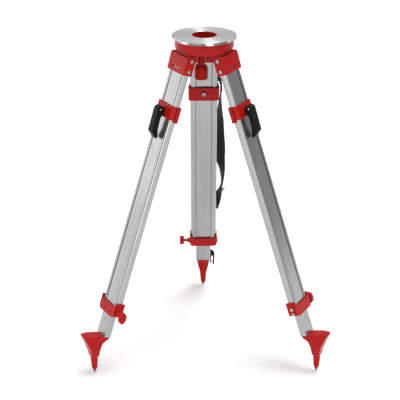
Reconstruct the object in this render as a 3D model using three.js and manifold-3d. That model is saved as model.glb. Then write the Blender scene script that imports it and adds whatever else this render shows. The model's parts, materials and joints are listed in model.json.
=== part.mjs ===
// Surveyor's tripod with a flat head and three telescoping aluminium legs, in millimetres, +Z up.
// It stands with its legs spread and pushed right in. The origin is on the ground, under the middle of
// the whole outline. Legs are numbered front_left, front_right and rear.
import * as THREE from "three";
import { mergeVertices } from "three/addons/utils/BufferGeometryUtils.js";
import Module from "manifold-3d";

const wasm = await Module();
wasm.setup();

// ---- Driving dimensions ----
const TABLE_HEIGHT = 902; // top of the head plate above the ground
const GAP = 0.3; // kept between pieces that touch
const FIT = 0.4; // kept round pieces that slide or turn

const PLATE = { radius: 84, hole: 33, thickness: 8, chamfer: 1 };
const CASTING = { bore: 30.6, hub: 32.6, skirt: 77.5, wall: 4.5, deck: 5.5, lip: 0.3 };
const DRUM = { front: 36.5, bottom: 29, frontStart: 58.5 }; // it is deeper between the front legs
const LUG = { halfWidth: 36.4, barrel: 9 };

const LEG_AZIMUTHS = { front_left: 210, front_right: 330, rear: 90 };
const LEG_SPREAD = 19.1; // degrees from upright
const PIVOT_RADIUS = 63;
const PIVOT_DEPTH = 52.7; // hinge bolt below the top of the plate

const RAIL = { inner: 22.3, outer: 37.3, half: 10.5, round: 7.3, wall: 2, top: -12.5, bottom: -700 };
const GROOVE = { depth: 4, half: 4 }; // groove in each rail that guides the inner leg's tongue
const PANEL = { half: 21.9, thick: 9.2, wall: 2, bottom: -127 };
const INNER = { half: 21.7, thick: 9.2, wall: 2, top: -129, bottom: -781 };
const TONGUE = { reach: 25.6, half: 3.4, bottom: -690 }; // runs in the rails' grooves, above the collar

const BRACKET = { half: 41, side: 37.6, fork: 37, top: 8, bottom: -39.3, floor: -11 };
const BRACKET_FACE = { thin: 13.4, thick: 15.5 };
const BRACKET_BOLT_Z = -28;
const BOLT = { shank: 3.6, head: 4.8, headHeight: 3.4 };

const CLAMP = { half: 40.5, side: 37.8, face: 10.9, wall: 3.4, middle: -142, height: 36 };
const INNER_PLATE = { half: 42.3, middle: -145, height: 42 };
const CLAMP_BOLT = { shank: 4, head: 6.5, eye: 6.5, eyeHalf: 4.3, pinY: 29 };
const LEVER = { half: 10, cam: 11, camY: -1.5, camZ: -2, slotHalf: 4.9, pin: 3 }; // cam centre about the pin

const COLLAR = { half: 40.3, face: 14, top: -687, bottom: -717, ear: -676, step: -701, round: 9 };
const THUMB = { z: -705, boss: 50, shank: 3, neck: 4.4, shankEnd: 58.5 };
const WING = { face: 71, length: 31, width: 19.5 };

const FOOT = { tipRadius: 349.7, plug: 30 };

const SCREW = { x: -8, y: 0, radius: 7.9, top: 17, end: 109.7, collar: 11.5, collarTop: 29, collarEnd: 33 };
const SLEEVE = { bore: 8.3, barrel: 10, flange: 15, top: 36, under: 38.6, end: 80 };
const WASHER = { inner: 8.3, outer: 13, top: 33.3, end: 35.7 };
const ARM = { top: 39, end: 44, half: 17, pivotRadius: 58, pivotAzimuth: 150, slotHalf: 7, past: 24 };
const SLOT_SHIFT = 4.5; // the slot reaches further past the screw than behind it
const KNOB = { radius: 18, top: 82, end: 119, bore: 10.6, boreEnd: 110, corner: 3 };

// ---- Solids ----
function solidOf(geometry) {
  const bare = geometry.clone();
  bare.deleteAttribute("normal");
  bare.deleteAttribute("uv");
  const merged = mergeVertices(bare, 1e-4);
  return new wasm.Manifold(
    new wasm.Mesh({
      numProp: 3,
      vertProperties: new Float32Array(merged.attributes.position.array),
      triVerts: new Uint32Array(merged.index.array),
    }),
  );
}

function geometryOf(solid) {
  const mesh = solid.getMesh();
  const positions = new THREE.BufferAttribute(mesh.vertProperties, mesh.numProp);
  const geometry = new THREE.BufferGeometry().setAttribute("position", positions);
  geometry.setIndex(new THREE.BufferAttribute(mesh.triVerts, 1));
  geometry.computeVertexNormals();
  return geometry;
}

// A box given by its lowest and highest corners.
function box(low, high) {
  const size = high.map((value, i) => value - low[i]);
  const middle = high.map((value, i) => (value + low[i]) / 2);
  return solidOf(new THREE.BoxGeometry(...size).translate(...middle));
}

// An outline in the plane of two axes, extruded along the third from one place to another.
// "xy" runs along z, "yz" along x and "xz" along y.
const PLANES = {
  xy: [[1, 0, 0], [0, 1, 0], [0, 0, 1]],
  yz: [[0, 1, 0], [0, 0, 1], [1, 0, 0]],
  xz: [[1, 0, 0], [0, 0, 1], [0, -1, 0]],
};

function prism(plane, outline, from, to, curveSegments = 5) {
  const isShape = outline instanceof THREE.Shape;
  const shape = isShape ? outline : new THREE.Shape(outline.map((p) => new THREE.Vector2(...p)));
  const depth = to - from;
  const geometry = new THREE.ExtrudeGeometry(shape, { depth, bevelEnabled: false, curveSegments });
  const start = plane === "xz" ? -to : from;
  geometry.translate(0, 0, start);
  const basis = PLANES[plane].map((axis) => new THREE.Vector3(...axis));
  geometry.applyMatrix4(new THREE.Matrix4().makeBasis(...basis));
  return solidOf(geometry);
}

// A round bar along x, y or z, between two places on that axis.
function bar(axis, radius, from, to, at = [0, 0, 0], sides = 16) {
  const geometry = new THREE.CylinderGeometry(radius, radius, to - from, sides);
  geometry.translate(0, (from + to) / 2, 0);
  if (axis === "x") geometry.rotateZ(-Math.PI / 2);
  if (axis === "z") geometry.rotateX(Math.PI / 2);
  return solidOf(geometry.translate(...at));
}

// A turned piece about z: its profile lists [radius, height] points and closes on itself.
function turned(profile, sides = 48) {
  const points = profile.concat([profile[0]]).map(([r, z]) => new THREE.Vector2(r, z));
  const geometry = new THREE.LatheGeometry(points, sides);
  geometry.rotateX(Math.PI / 2);
  const solid = solidOf(geometry);
  return solid.volume() > 0 ? solid : solidOf(flipped(geometry));
}

function flipped(geometry) {
  const copy = geometry.clone();
  const index = copy.index.array;
  for (let i = 0; i < index.length; i += 3) [index[i + 1], index[i + 2]] = [index[i + 2], index[i + 1]];
  return copy;
}

// A rectangle with rounded corners: one radius for its four corners.
function roundedBox(halfX, halfY, radius, middleX = 0, middleY = 0) {
  const shape = new THREE.Shape();
  const [x0, x1] = [middleX - halfX, middleX + halfX];
  const [y0, y1] = [middleY - halfY, middleY + halfY];
  shape.moveTo(x0 + radius, y0);
  shape.lineTo(x1 - radius, y0);
  shape.absarc(x1 - radius, y0 + radius, radius, -Math.PI / 2, 0);
  shape.lineTo(x1, y1 - radius);
  shape.absarc(x1 - radius, y1 - radius, radius, 0, Math.PI / 2);
  shape.lineTo(x0 + radius, y1);
  shape.absarc(x0 + radius, y1 - radius, radius, Math.PI / 2, Math.PI);
  shape.lineTo(x0, y0 + radius);
  shape.absarc(x0 + radius, y0 + radius, radius, Math.PI, 1.5 * Math.PI);
  return shape;
}

const join = (...solids) => solids.reduce((sum, solid) => sum.add(solid));
const cut = (solid, ...tools) => tools.reduce((rest, tool) => rest.subtract(tool), solid);
const radians = THREE.MathUtils.degToRad;

// ---- Materials ----
const FINISHES = {
  red_paint: { color: 0xc62f2f, roughness: 0.35, metalness: 0.1 },
  anodised: { color: 0xaaaba8, roughness: 0.42, metalness: 0.85 },
  polished: { color: 0xc8c8c8, roughness: 0.18, metalness: 1 },
  zinc: { color: 0xb9bab6, roughness: 0.3, metalness: 0.9 },
  black_plastic: { color: 0x1d1d1f, roughness: 0.5, metalness: 0 },
  webbing: { color: 0x141416, roughness: 0.9, metalness: 0 },
};

function piece(name, finish, solid) {
  const mesh = new THREE.Mesh(geometryOf(solid), new THREE.MeshStandardMaterial(FINISHES[finish]));
  mesh.name = name;
  return mesh;
}

// ---- Head: heights in this section count down from the top of the plate ----
const legFrame = (azimuth) => radians(azimuth - 90); // turns local +y to point outward along a leg

function headPlate() {
  const { radius, hole, thickness, chamfer } = PLATE;
  return turned([
    [hole, -thickness],
    [radius - chamfer, -thickness],
    [radius, -thickness + chamfer],
    [radius, -chamfer],
    [radius - chamfer, 0],
    [hole, 0],
  ], 96);
}

// Lug that carries one leg. Its outer side is cut back, to leave room for the bracket as the leg swings out.
function lug(azimuth) {
  const { barrel, halfWidth } = LUG;
  const deckUnder = PIVOT_DEPTH - PLATE.thickness - CASTING.deck + 1;
  const outline = [
    [0.72 * barrel, -0.72 * barrel],
    [barrel, 0],
    [6.5, 8],
    [1.5, 14],
    [0, 20],
    [0, deckUnder],
    [-13, deckUnder],
    [-barrel, 10],
    [-barrel, 0],
    [-0.72 * barrel, -0.72 * barrel],
    [0, -barrel],
  ];
  const solid = cut(prism("yz", outline, -halfWidth, halfWidth), bar("x", BOLT.shank + FIT, -40, 40));
  return solid.translate([0, PIVOT_RADIUS, -PIVOT_DEPTH]).rotate([0, 0, azimuth - 90]);
}

function armPivot() {
  const angle = radians(ARM.pivotAzimuth);
  return [ARM.pivotRadius * Math.cos(angle), ARM.pivotRadius * Math.sin(angle)];
}

function headCasting() {
  const { bore, hub, skirt, wall, deck, lip } = CASTING;
  const { front, bottom, frontStart } = DRUM;
  const top = PLATE.thickness + GAP;
  const shell = turned([
    [bore, -bottom],
    [bore, -lip],
    [hub, -lip],
    [hub, -top],
    [skirt - 1, -top],
    [skirt, -top - 1],
    [skirt, -front + 1.5],
    [skirt - 1.5, -front],
    [skirt - wall, -front],
    [skirt - wall, -top - deck],
    [bore + wall, -top - deck],
    [bore + wall, -bottom],
  ], 96);
  const shallow = box([-90, -frontStart, -front - 1], [90, 90, -bottom]);
  const [px, py] = armPivot();
  const boss = bar("z", 8, -ARM.top + GAP, -top - 1, [px, py, 0]);
  const screwHole = bar("z", 3.8, -ARM.top, -top - deck + 1, [px, py, 0]);
  return cut(join(cut(shell, shallow), boss, ...Object.values(LEG_AZIMUTHS).map(lug)), screwHole);
}

// The arm points from its pivot to the screw, with a long slot that the screw's sleeve slides along.
function armAngle() {
  const [px, py] = armPivot();
  return Math.atan2(SCREW.y - py, SCREW.x - px);
}

function armLength() {
  const [px, py] = armPivot();
  return Math.hypot(SCREW.x - px, SCREW.y - py);
}

function swingArm() {
  const reach = armLength();
  const { half, slotHalf, past, top, end } = ARM;
  const slotRadius = SLEEVE.barrel + FIT;
  const shape = new THREE.Shape();
  shape.absarc(0, 0, 10, Math.PI / 2, 1.5 * Math.PI);
  shape.lineTo(reach - slotHalf - 8, -half);
  shape.absarc(reach + past - half, 0, half, -Math.PI / 2, Math.PI / 2);
  shape.lineTo(reach - slotHalf - 8, half);
  const slot = roundedBox(slotHalf + slotRadius, slotRadius, slotRadius - 0.01, reach + SLOT_SHIFT, 0);
  const solid = cut(
    prism("xy", shape, -end, -top, 7),
    prism("xy", slot, -end - 1, -top + 1, 4),
    bar("z", 3.9, -end - 1, -top + 1),
  );
  const [px, py] = armPivot();
  return solid.rotate([0, 0, THREE.MathUtils.radToDeg(armAngle())]).translate([px, py, 0]);
}

function armPivotScrew() {
  const [px, py] = armPivot();
  const head = bar("z", 7, -ARM.end - 4.3, -ARM.end - GAP, [px, py, 0], 16);
  return join(head, bar("z", 3.5, -ARM.end - 1, -PLATE.thickness - CASTING.deck - 1, [px, py, 0], 16));
}

const atScrew = (solid) => solid.translate([SCREW.x, SCREW.y, 0]);

function screwSleeve() {
  const { bore, barrel, flange, top, under, end } = SLEEVE;
  return atScrew(turned([
    [bore, -end],
    [barrel, -end],
    [barrel, -under],
    [flange, -under],
    [flange, -top],
    [bore, -top],
  ], 24));
}

function thrustWasher() {
  const { inner, outer, top, end } = WASHER;
  return atScrew(turned([[inner, -end], [outer, -end], [outer, -top], [inner, -top]], 20));
}

function fixingStud() {
  const { radius, top, end, collar, collarTop, collarEnd } = SCREW;
  return atScrew(join(bar("z", radius, -end, -top), bar("z", collar, -collarEnd, -collarTop)));
}

function fixingKnob() {
  const { radius, top, end, bore, boreEnd, corner } = KNOB;
  const grip = turned([
    [0, -end],
    [radius - corner, -end],
    [radius, -end + corner],
    [radius, -top - 1],
    [radius - 1, -top],
    [bore, -top],
    [bore, -boreEnd],
    [0, -boreEnd],
  ], 24);
  return atScrew(grip);
}

function head() {
  const group = new THREE.Group();
  group.position.z = TABLE_HEIGHT;
  group.add(
    piece("head_plate", "polished", headPlate()),
    piece("head_casting", "red_paint", headCasting()),
    piece("swing_arm", "zinc", swingArm()),
    piece("arm_pivot_screw", "zinc", armPivotScrew()),
    piece("screw_sleeve", "red_paint", screwSleeve()),
    piece("thrust_washer", "zinc", thrustWasher()),
    piece("fixing_stud", "zinc", fixingStud()),
    piece("fixing_knob", "red_paint", fixingKnob()),
  );
  return group;
}

// ---- Leg: its origin is the hinge bolt, +y faces outward, z runs up along the leg ----

// Cap over the tops of the rails. Its upper part is a fork round the head's lug, open to the inner side.
function bracket() {
  const { half, side, fork, top, bottom, floor } = BRACKET;
  const { thin: thinFace, thick: thickFace } = BRACKET_FACE;
  const outline = [
    [-thinFace, bottom],
    [thinFace, bottom],
    [thickFace, top - 2],
    [thickFace - 2, top],
    [8, top + 3],
    [-6, top + 3],
    [-thinFace, 0],
  ];
  const shell = prism("yz", outline, -half, half);
  const corners = prism("xz", roundedBox(half, 60, 2.5, 0, bottom + 60), -40, 40, 3);
  return cut(
    shell.intersect(corners),
    box([-side, -RAIL.half - GAP, bottom - 1], [side, RAIL.half + GAP, floor + 1]),
    box([-fork, -30, floor], [fork, thinFace - 0.6, top + 10]),
    box([-17, thinFace - 0.5, BRACKET_BOLT_Z + 0.2], [25, 30, BRACKET_BOLT_Z + 1.6]),
    bar("x", BOLT.shank + GAP, -50, 50),
    bar("x", BOLT.shank + GAP, -50, 50, [0, 0, BRACKET_BOLT_Z]),
  );
}

// Bolt across the leg, from one narrow side of the bracket to the other.
function crossBolt(z) {
  const reach = BRACKET.half + GAP;
  const { shank, head: radius, headHeight } = BOLT;
  const at = [0, 0, z];
  return join(
    bar("x", shank, -reach - 1, reach + 1, at, 16),
    bar("x", radius, reach, reach + headHeight, at, 12),
    bar("x", radius, -reach - headHeight, -reach, at, 6),
  );
}

// Half of the outer leg: a hollow D, with a groove on its inner side. side is 1 or -1.
function rail(side) {
  const { inner, outer, half, round, wall, top, bottom } = RAIL;
  const width = (outer - inner) / 2;
  const outline = new THREE.Shape();
  outline.moveTo(inner, -half);
  outline.lineTo(outer - round, -half);
  outline.absarc(outer - round, -half + round, round, -Math.PI / 2, 0);
  outline.lineTo(outer, half - round);
  outline.absarc(outer - round, half - round, round, 0, Math.PI / 2);
  outline.lineTo(inner, half);
  outline.lineTo(inner, GROOVE.half);
  outline.lineTo(inner + GROOVE.depth, GROOVE.half);
  outline.lineTo(inner + GROOVE.depth, -GROOVE.half);
  outline.lineTo(inner, -GROOVE.half);
  const hollow = roundedBox((outer - wall - inner - GROOVE.depth - wall) / 2, half - wall, 3,
    (outer - wall + inner + GROOVE.depth + wall) / 2, 0);
  const tube = cut(prism("xy", outline, bottom, top, 4), prism("xy", hollow, bottom - 1, top + 1, 2));
  const turnedRound = side > 0 ? tube : tube.rotate([0, 0, 180]);
  return cut(turnedRound, bar("x", BOLT.shank + GAP, -50, 50, [0, 0, BRACKET_BOLT_Z], 12));
}

// Panel that closes the outer leg between the rails, above the clamp.
function panel() {
  const { half, thick, wall, bottom } = PANEL;
  const top = RAIL.top - 0.5;
  return cut(
    prism("xy", roundedBox(half, thick, 0.8), bottom, top, 1),
    prism("xy", roundedBox(half - wall, thick - wall, 0.8), bottom - 1, top + 1, 1),
    bar("x", BOLT.shank + GAP, -50, 50, [0, 0, BRACKET_BOLT_Z], 12),
  );
}

// Lower end of the outer leg. Its upper half wraps the rails, its lower half guides the inner leg.
function collar() {
  const { half, face, top, bottom, ear, step, round } = COLLAR;
  const front = [
    [-half + round, bottom],
    [half - round, bottom],
    [half - 2.6, bottom + 2.6],
    [half, bottom + round],
    [half, ear],
    [half - 3, ear],
    [half - 9, top],
    [-half + 9, top],
    [-half + 3, ear],
    [-half, ear],
    [-half, bottom + round],
    [-half + 2.6, bottom + 2.6],
  ];
  const railPocket = roundedBox(RAIL.outer + GAP, RAIL.half + GAP, RAIL.round);
  const boss = new THREE.CylinderGeometry(4.8, 10.5, THUMB.boss - half + 4, 20);
  boss.rotateZ(Math.PI / 2);
  boss.translate(-(THUMB.boss + half - 4) / 2, 0, THUMB.z);
  return cut(
    join(prism("xz", front, -face, face), solidOf(boss)),
    prism("xy", railPocket, step, ear + 5, 4),
    box([-INNER.half - FIT, -INNER.thick - FIT, bottom - 1], [INNER.half + FIT, INNER.thick + FIT, step + 1]),
    box([-TONGUE.reach - FIT, -GROOVE.half, bottom - 1], [TONGUE.reach + FIT, GROOVE.half, step + 1]),
    bar("x", THUMB.shank + FIT, -THUMB.boss - 1, -INNER.half, [0, 0, THUMB.z]),
    bar("x", 2.6, INNER.half, half + 1, [0, 0, COLLAR.step + 6], 12),
  );
}

// Screw through the collar's plain side, which ties it to the rail.
function collarScrew() {
  const z = COLLAR.step + 6;
  return join(
    bar("x", 2.3, RAIL.outer + 1.2, COLLAR.half + 1, [0, 0, z], 12),
    bar("x", 5, COLLAR.half + GAP, COLLAR.half + 3, [0, 0, z], 12),
  );
}

// Thumb screw that clamps the inner leg: an oval wing on a short shank.
function thumbScrew() {
  const { z, shank, neck, boss, shankEnd } = THUMB;
  const oval = new THREE.Shape();
  oval.absellipse(0, z, WING.width / 2, WING.length / 2, 0, 2 * Math.PI);
  return join(
    bar("x", shank, -WING.face + 4, -INNER.half - FIT - 4.5, [0, 0, z], 16),
    prism("yz", oval, -WING.face, -shankEnd, 10),
    bar("x", neck, -shankEnd - 1, -boss - 1.5, [0, 0, z], 16),
  );
}

// Clamp plate over the rails: a shallow channel whose flanges wrap round the narrow sides.
function clampPlate(side) {
  const { side: inside, face, wall } = CLAMP;
  const { half, middle, height } = side > 0 ? CLAMP : INNER_PLATE;
  const depth = face + wall;
  const flangeEnd = side > 0 ? 1.5 : 0.5;
  const outline = new THREE.Shape();
  outline.moveTo(-half, flangeEnd);
  outline.lineTo(-half, depth - 7);
  outline.absarc(-half + 7, depth - 7, 7, Math.PI, Math.PI / 2, true);
  outline.lineTo(half - 7, depth);
  outline.absarc(half - 7, depth - 7, 7, Math.PI / 2, 0, true);
  outline.lineTo(half, flangeEnd);
  outline.lineTo(inside, flangeEnd);
  outline.lineTo(inside, face - RAIL.round);
  outline.absarc(inside - RAIL.round, face - RAIL.round, RAIL.round, 0, Math.PI / 2);
  outline.lineTo(-inside + RAIL.round, face);
  outline.absarc(-inside + RAIL.round, face - RAIL.round, RAIL.round, Math.PI / 2, Math.PI);
  outline.lineTo(-inside, flangeEnd);
  const channel = prism("xy", outline, middle - height / 2, middle + height / 2, 4);
  const turnedRound = side > 0 ? channel : channel.rotate([0, 0, 180]);
  return cut(turnedRound, bar("y", CLAMP_BOLT.shank + GAP, -30, 30, [0, 0, CLAMP.middle], 16));
}

// Bolt through both clamp plates and the inner leg, with an eye for the lever's pin.
function clampBolt() {
  const { shank, head: radius, eye, eyeHalf, pinY } = CLAMP_BOLT;
  const back = -CLAMP.face - CLAMP.wall - GAP;
  const at = [0, 0, CLAMP.middle];
  const solid = join(
    bar("y", shank, back - 1, pinY, at, 16),
    bar("y", radius, back - 4, back, at, 6),
    bar("x", eye, -eyeHalf, eyeHalf, [0, pinY, CLAMP.middle], 20),
  );
  return cut(solid, bar("x", LEVER.pin + GAP, -20, 20, [0, pinY, CLAMP.middle], 16));
}

function leverPin() {
  const reach = LEVER.half + 1.2;
  return bar("x", LEVER.pin, -reach, reach, [0, CLAMP_BOLT.pinY, CLAMP.middle], 16);
}

// Cam lever, closed: it hangs down the outer face. Its profile is about the pin.
function lever() {
  const { half, cam, camY, camZ, slotHalf, pin } = LEVER;
  const shape = new THREE.Shape();
  shape.moveTo(camY + cam, camZ);
  shape.lineTo(8.5, -62);
  shape.lineTo(-9, -78);
  shape.lineTo(-13.5, -75);
  shape.lineTo(-8, -52);
  shape.lineTo(-6.5, -24);
  shape.absarc(camY, camZ, cam, Math.PI * 1.2, 0, true);
  const at = [0, CLAMP_BOLT.pinY, CLAMP.middle];
  const solid = cut(
    prism("yz", shape, -half, half, 8),
    box([-slotHalf, -20, -7.5], [slotHalf, 7.3, 20]),
    bar("x", pin + GAP, -20, 20, [0, 0, 0], 16),
  );
  return solid.translate(at);
}

// Inner leg: a box section with a tongue on each narrow side.
function innerLeg() {
  const { half, thick, wall, top, bottom } = INNER;
  const tongues = box([-TONGUE.reach, -TONGUE.half, TONGUE.bottom], [TONGUE.reach, TONGUE.half, top]);
  const hollow = box([-half + wall, -thick + wall, bottom - 1], [half - wall, thick - wall, top + 1]);
  return cut(
    join(box([-half, -thick, bottom], [half, thick, top]), tongues),
    hollow,
    bar("y", CLAMP_BOLT.shank + GAP, -30, 30, [0, 0, CLAMP.middle], 16),
  );
}

// Foot, drawn upright: y outward and z up from the spike's point, then tilted into the leg's frame.
function foot() {
  const spike = turned([[0, 0], [8, 20], [9, 36], [10.9, 55], [13.5, 78], [0, 78]], 20);
  const sideView = [
    [-10.5, 54],
    [10.5, 54],
    [14, 73],
    [21, 94],
    [30, 115],
    [33, 121],
    [31.5, 125],
    [18, 123.5],
    [-21.2, 114.4],
    [-39, 108.3],
    [-38, 104.3],
    [-19, 93],
    [-12.5, 76],
  ];
  const frontHalf = [[10.5, 54], [12.3, 63], [15.5, 74], [17.2, 84], [18.4, 100], [18.4, 134]];
  const frontView = frontHalf.concat(frontHalf.slice().reverse().map(([x, z]) => [-x, z]));
  const stepSides = [
    [-60, -21],
    [0, -21],
    [33, -13],
    [33, 13],
    [0, 21],
    [-60, 21],
  ].map(([y, x]) => [-x, y]);
  const step = prism("yz", sideView, -30, 30)
    .intersect(prism("xz", frontView, -80, 80))
    .intersect(prism("xy", stepSides, -10, 140));
  const body = join(spike, step);
  const spread = radians(LEG_SPREAD);
  const outward = FOOT.tipRadius - PIVOT_RADIUS;
  const down = TABLE_HEIGHT - PIVOT_DEPTH;
  const y = outward * Math.cos(spread) - down * Math.sin(spread);
  const z = -outward * Math.sin(spread) - down * Math.cos(spread);
  const { half, thick, wall, bottom } = INNER;
  const room = wall + GAP;
  const [plugX, plugY] = [half - room, thick - room];
  const plug = box([-plugX, -plugY, bottom - 8], [plugX, plugY, bottom + FOOT.plug]);
  const above = box([-60, -60, bottom - GAP], [60, 60, bottom + 60]);
  return cut(body.rotate([-LEG_SPREAD, 0, 0]).translate([0, y, z]), above).add(plug);
}

function leg(name, azimuth) {
  const frame = new THREE.Group();
  frame.rotation.z = legFrame(azimuth);
  const swing = new THREE.Group();
  swing.position.set(0, PIVOT_RADIUS, TABLE_HEIGHT - PIVOT_DEPTH);
  swing.rotation.x = radians(LEG_SPREAD);
  frame.add(swing);
  swing.add(
    piece(name + "_bracket", "red_paint", bracket()),
    piece(name + "_hinge_bolt", "zinc", crossBolt(0)),
    piece(name + "_bracket_bolt", "zinc", crossBolt(BRACKET_BOLT_Z)),
    piece(name + "_rail_near", "anodised", rail(-1)),
    piece(name + "_rail_far", "anodised", rail(1)),
    piece(name + "_panel", "anodised", panel()),
    piece(name + "_collar", "red_paint", collar()),
    piece(name + "_collar_screw", "zinc", collarScrew()),
    piece(name + "_thumb_screw", "red_paint", thumbScrew()),
    piece(name + "_clamp_outer", "red_paint", clampPlate(1)),
    piece(name + "_clamp_inner", "red_paint", clampPlate(-1)),
    piece(name + "_clamp_bolt", "zinc", clampBolt()),
    piece(name + "_lever", "black_plastic", lever()),
    piece(name + "_lever_pin", "zinc", leverPin()),
    piece(name + "_inner_leg", "anodised", innerLeg()),
    piece(name + "_foot", "red_paint", foot()),
  );
  if (name === "rear") swing.add(...strapPieces());
  return frame;
}

// ---- Carrying strap and tie clip, in the rear leg's frame ----

// Middle line of the webbing, from the keeper near the top to the patch low on the rail, with the turn of
// its flat side in degrees: 0 lies along the leg's narrow side, 90 faces its outer side.
const STRAP_PATH = [
  [[42.2, 5, -108.7], 0],
  [[44.8, 8, -122], 0],
  [[45, 10, -168], 4],
  [[44, 16, -215], 24],
  [[45, 22, -255], 45],
  [[46, 24, -303], 68],
  [[49, 25, -367], 80],
  [[49, 24, -405], 74],
  [[53.8, 20, -450], 30],
  [[53.2, 16, -497], 4],
  [[50, 15, -516], 12],
  [[42, 18.6, -545], 48],
  [[34, 16.4, -574], 82],
  [[30, 14.6, -590], 90],
];
const STRAP = { half: 13.5, thick: 3, perSpan: 3 };

// Webbing with its twist: a ring of four corners at each step along the path.
function strap() {
  const { half, thick, perSpan } = STRAP;
  const middle = new THREE.CatmullRomCurve3(STRAP_PATH.map(([p]) => new THREE.Vector3(...p)));
  const turn = new THREE.CatmullRomCurve3(STRAP_PATH.map(([, degrees]) => new THREE.Vector3(degrees, 0, 0)));
  const steps = perSpan * (STRAP_PATH.length - 1);
  const corners = [];
  const faces = [];
  for (let i = 0; i <= steps; i++) {
    const p = middle.getPoint(i / steps);
    const angle = radians(turn.getPoint(i / steps).x);
    const [wx, wy] = [Math.sin(angle) * half, -Math.cos(angle) * half];
    const [tx, ty] = [Math.cos(angle) * thick / 2, Math.sin(angle) * thick / 2];
    for (const [w, t] of [[-1, -1], [1, -1], [1, 1], [-1, 1]]) {
      corners.push(p.x + w * wx + t * tx, p.y + w * wy + t * ty, p.z);
    }
    for (let k = 0; k < 4 && i < steps; k++) {
      const [a, b] = [4 * i + k, 4 * i + (k + 1) % 4];
      faces.push(a, a + 4, b, b, a + 4, b + 4);
    }
  }
  const last = 4 * steps;
  faces.push(0, 1, 2, 0, 2, 3, last, last + 2, last + 1, last, last + 3, last + 2);
  const geometry = new THREE.BufferGeometry();
  geometry.setAttribute("position", new THREE.Float32BufferAttribute(corners, 3));
  geometry.setIndex(faces);
  const solid = solidOf(geometry);
  return solid.volume() > 0 ? solid : solidOf(flipped(geometry));
}

function strapKeeper() {
  const { outer, half } = RAIL;
  const block = box([outer + GAP, -4, -108], [outer + 7, half + 1, -80]);
  return cut(block, box([outer + 2.6, -1, -102], [outer + 4.8, 30, -86]));
}

function strapPatch() {
  const { half, outer } = RAIL;
  return prism("xz", roundedBox(6.5, 11, 2, outer - 7.8, -602), half + GAP, half + 3.2, 3);
}

// Hook on the inner leg's plain side, for the strap that ties the legs together: a hanging prong, and
// beside the leg a tongue with a round end.
function tieClip() {
  const x = INNER.half + GAP;
  const shape = new THREE.Shape();
  shape.moveTo(x, -749);
  shape.lineTo(x + 3, -749);
  shape.lineTo(x + 11.5, -758);
  shape.lineTo(x + 12.5, -771);
  shape.lineTo(x + 11, -806);
  shape.lineTo(x + 6.8, -806);
  shape.lineTo(x + 7.6, -774);
  shape.lineTo(x + 4.5, -768);
  shape.lineTo(x + 2.4, -774);
  shape.absarc(x + 1.6, -797.5, 2.6, radians(70), radians(-232), true);
  return prism("xz", shape, -3, 5);
}

function strapPieces() {
  return [
    piece("carry_strap", "webbing", strap()),
    piece("strap_keeper", "black_plastic", strapKeeper()),
    piece("strap_patch", "black_plastic", strapPatch()),
    piece("tie_clip", "black_plastic", tieClip()),
  ];
}

// ---- Assembly ----
const tripod = new THREE.Group();
tripod.add(head(), ...Object.entries(LEG_AZIMUTHS).map(([name, azimuth]) => leg(name, azimuth)));

// The origin moves to the middle of the outline, on the ground.
const outline = new THREE.Box3().setFromObject(tripod, true);
const middle = outline.getCenter(new THREE.Vector3());
tripod.position.set(-middle.x, -middle.y, -outline.min.z);

export default tripod;
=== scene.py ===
# Surveyor's tripod: the look of every piece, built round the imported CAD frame. Lengths here are in
# millimetres in a leg's or the head's own frame; Blender's are in metres.
import json
import math

import bmesh
import bpy
from mathutils import Matrix, Vector


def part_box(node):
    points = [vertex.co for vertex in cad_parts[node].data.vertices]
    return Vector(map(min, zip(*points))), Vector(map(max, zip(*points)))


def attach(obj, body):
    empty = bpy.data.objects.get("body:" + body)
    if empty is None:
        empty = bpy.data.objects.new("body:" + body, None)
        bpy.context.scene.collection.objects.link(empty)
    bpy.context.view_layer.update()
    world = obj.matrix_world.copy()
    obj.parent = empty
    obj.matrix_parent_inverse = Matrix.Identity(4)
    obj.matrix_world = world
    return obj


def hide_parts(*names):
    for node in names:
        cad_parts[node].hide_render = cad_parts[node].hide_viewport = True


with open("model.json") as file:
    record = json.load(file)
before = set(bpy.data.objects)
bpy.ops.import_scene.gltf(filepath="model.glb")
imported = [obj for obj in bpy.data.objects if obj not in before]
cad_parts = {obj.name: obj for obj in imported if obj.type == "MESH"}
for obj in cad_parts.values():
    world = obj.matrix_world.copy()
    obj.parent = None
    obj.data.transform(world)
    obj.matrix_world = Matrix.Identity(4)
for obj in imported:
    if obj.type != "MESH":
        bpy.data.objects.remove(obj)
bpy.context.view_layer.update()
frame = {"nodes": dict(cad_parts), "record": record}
NODES = frame["nodes"]
MM = 0.001

# ---- Frames taken from the CAD ----
plate_low, plate_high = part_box("head_plate")
HEAD_AXIS = (plate_low + plate_high) / 2
TABLE_TOP = plate_high.z
LEG_AZIMUTHS = {"front_left": 210, "front_right": 330, "rear": 90}
LEG_SPREAD = math.radians(19.1)
PIVOT_RADIUS = 63
PIVOT_DEPTH = 52.7


def leg_frame(azimuth):
    """A leg's frame: origin at the hinge bolt, +y outward, +z up along the leg."""
    turn = math.radians(azimuth)
    outward = Vector((math.cos(turn), math.sin(turn), 0))
    x = Vector((math.sin(turn), -math.cos(turn), 0))
    y = outward * math.cos(LEG_SPREAD) + Vector((0, 0, math.sin(LEG_SPREAD)))
    z = x.cross(y)
    at = Vector((HEAD_AXIS.x, HEAD_AXIS.y, TABLE_TOP - PIVOT_DEPTH * MM)) + outward * PIVOT_RADIUS * MM
    matrix = Matrix.Identity(4)
    for column, vector in enumerate((x, y, z, at)):
        for row in range(3):
            matrix[row][column] = vector[row]
    return matrix


HEAD_FRAME = Matrix.Translation((HEAD_AXIS.x, HEAD_AXIS.y, TABLE_TOP))
LEG_FRAMES = {name: leg_frame(azimuth) for name, azimuth in LEG_AZIMUTHS.items()}


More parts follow.
